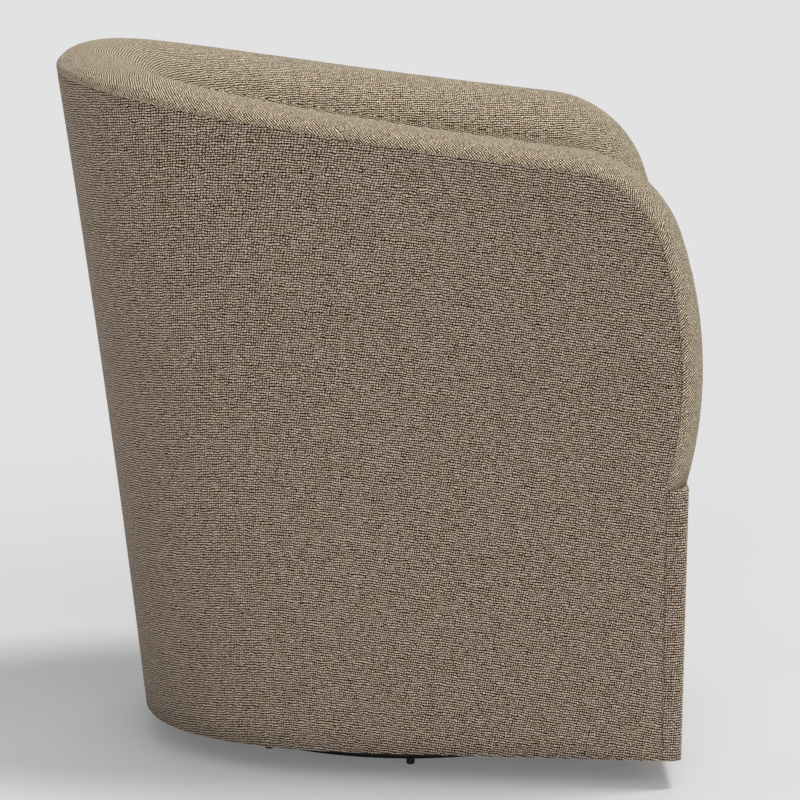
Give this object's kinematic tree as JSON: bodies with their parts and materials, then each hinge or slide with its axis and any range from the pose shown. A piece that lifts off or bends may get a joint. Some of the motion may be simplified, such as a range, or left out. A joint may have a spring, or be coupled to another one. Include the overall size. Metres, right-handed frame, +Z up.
{
  "type": "swivel barrel chair",
  "caption": "Upholstered barrel chair: a rounded back that slopes down into swelling arms, a loose seat cushion, and a hidden round base that swivels on a ball bearing.",
  "frame": {"origin": "on the floor, on the vertical axis that the chair turns about", "axes": "+Z up along the swivel's axis, the sitter faces -Y, +X is on the sitter's left"},
  "size_m": [0.7244, 0.6931, 0.7618],
  "materials": {
    "base_black": "satin black paint",
    "glide_nylon": "moulded black nylon",
    "zinc_steel": "zinc plated, pressed",
    "screw_steel": "zinc plated",
    "pin_steel": "turned and oiled",
    "ball_steel": "polished",
    "white_nylon": "moulded natural nylon",
    "hardwood": "sawn, unfinished",
    "plywood": "sanded plywood, unfinished",
    "spring_steel": "oil tempered wire",
    "deck_cloth": "black decking cloth over a pad",
    "seat_fabric": "taupe tweed weave",
    "inside_fabric": "taupe tweed weave",
    "outside_fabric": "taupe tweed weave",
    "fibreboard": "pressed board, matt",
    "foam": "open-cell polyurethane foam",
    "dust_cloth": "spun-bonded black cloth"
  },
  "bodies": {
    "base": {"base_disc": "base_black", "floor_glides": "glide_nylon", "swivel_lower_plate": "zinc_steel", "lower_plate_screws": "screw_steel", "king_pin": "pin_steel", "swivel_washer": "white_nylon"},
    "ball_ring": {"ball_cage": "white_nylon", "bearing_balls": "ball_steel"},
    "seat": {"swivel_upper_plate": "zinc_steel", "upper_plate_screws": "screw_steel", "swivel_boards": "hardwood", "bottom_ring": "plywood", "seat_ring": "plywood", "lower_posts": "hardwood", "upper_posts": "hardwood", "top_rail": "plywood", "arm_formers": "plywood", "corner_blocks": "hardwood", "seat_springs": "spring_steel", "spring_clips": "spring_steel", "seat_deck": "deck_cloth", "seat_cushion": "seat_fabric", "inner_board": "fibreboard", "inside_padding": "foam", "inside_cover": "inside_fabric", "tack_strip": "fibreboard", "outer_board": "fibreboard", "outside_cover": "outside_fabric", "front_board": "plywood", "front_padding": "foam", "front_cover": "outside_fabric", "dust_cover": "dust_cloth"}
  },
  "joints": [
    {"name": "swivel", "type": "hinge", "parent": "base", "child": "seat", "pos_m": [0, 0, 0.034], "axis": [0, 0, 1], "continuous": true},
    {"name": "ball_orbit", "type": "hinge", "parent": "base", "child": "ball_ring", "pos_m": [0, 0, 0.034], "axis": [0, 0, 1], "continuous": true}
  ],
  "couplings": [
    {"joint": "ball_orbit", "follows": "swivel", "ratio": 0.5}
  ]
}
